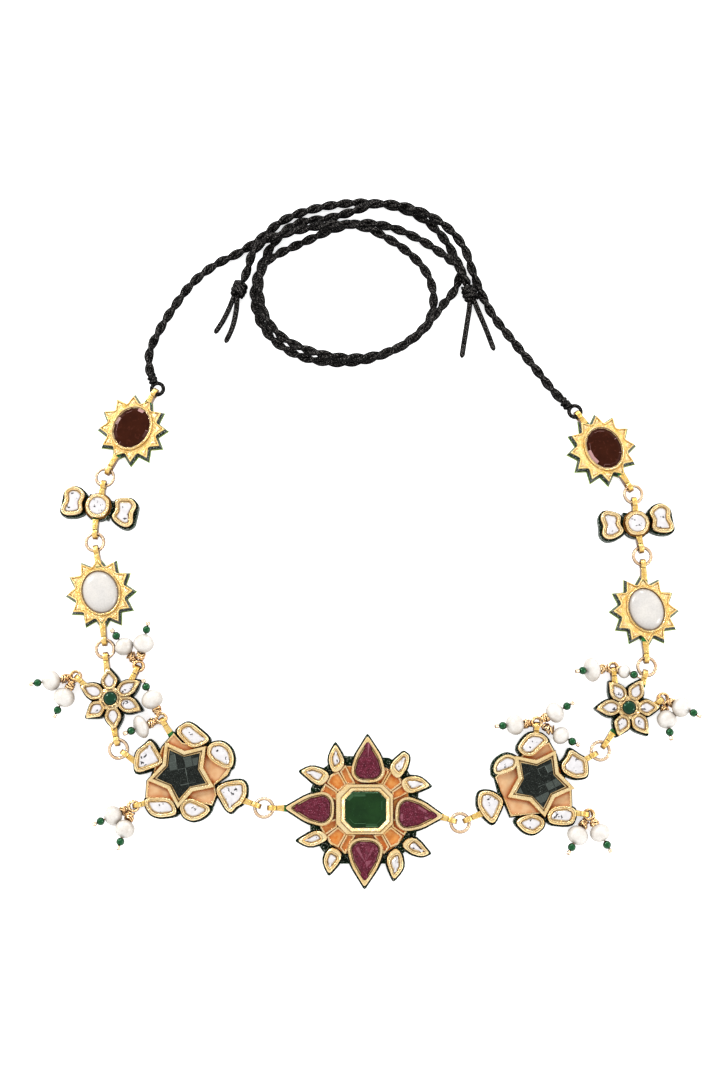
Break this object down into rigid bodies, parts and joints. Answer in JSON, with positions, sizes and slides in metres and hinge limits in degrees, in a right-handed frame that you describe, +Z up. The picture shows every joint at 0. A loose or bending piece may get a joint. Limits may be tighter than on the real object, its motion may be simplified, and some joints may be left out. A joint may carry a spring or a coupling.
{
  "type": "forehead ornament",
  "caption": "Forehead ornament of jewelled castings joined by link rings, hung with pearl drops, with a long twisted cord at each end to tie behind the head.",
  "frame": {"origin": "on the surface that the ornament lies on, below the middle of the band's box; the free cords and their knots aren't counted", "axes": "+X runs along the band's widest spread, from the left arm to the right arm; +Y runs from the middle flower towards the cords; +Z is up, out of the stones' faces"},
  "size_m": [0.1945, 0.2103, 0.0084],
  "materials": {
    "gold": "gold plate, hand finished, slightly uneven",
    "orange_enamel": "translucent orange enamel",
    "peach_enamel": "pale peach enamel",
    "emerald": "cut stone, dark green",
    "ruby": "cut stone, cloudy wine red",
    "garnet": "cut stone, brown red",
    "smoky_stone": "checker-cut stone, grey green",
    "clear_stone": "flat cut clear stone on foil",
    "green_cabochon": "polished round stone",
    "green_bead": "polished bead",
    "pearl": "soft pearl lustre",
    "cord": "black two-ply twisted cord"
  },
  "bodies": {
    "root": {"centre_setting": "gold", "centre_enamel": "orange_enamel", "emerald": "emerald", "ruby_top": "ruby", "ruby_bottom": "ruby", "ruby_left": "ruby", "ruby_right": "ruby", "centre_kundan": "clear_stone", "star_left_setting": "gold", "star_left_enamel": "peach_enamel", "star_left_stone": "smoky_stone", "star_left_kundan": "clear_stone", "star_right_setting": "gold", "star_right_enamel": "peach_enamel", "star_right_stone": "smoky_stone", "star_right_kundan": "clear_stone", "blossom_left_setting": "gold", "blossom_left_stone": "green_cabochon", "blossom_left_kundan": "clear_stone", "blossom_right_setting": "gold", "blossom_right_stone": "green_cabochon", "blossom_right_kundan": "clear_stone", "garnet_left_setting": "gold", "garnet_left": "garnet", "garnet_right_setting": "gold", "garnet_right": "garnet", "pearl_left_setting": "gold", "pearl_left": "pearl", "pearl_right_setting": "gold", "pearl_right": "pearl", "bow_left_setting": "gold", "bow_left_kundan": "clear_stone", "bow_right_setting": "gold", "bow_right_kundan": "clear_stone", "links_left": "gold", "links_right": "gold", "blossom_left_wires": "gold", "blossom_left_pearls": "pearl", "blossom_left_beads": "green_bead", "blossom_right_wires": "gold", "blossom_right_pearls": "pearl", "blossom_right_beads": "green_bead", "star_left_wires": "gold", "star_left_pearls": "pearl", "star_left_beads": "green_bead", "star_right_wires": "gold", "star_right_pearls": "pearl", "star_right_beads": "green_bead", "cord_left": "cord", "cord_right": "cord", "knot_left": "cord", "knot_right": "cord"}
  },
  "joints": []
}
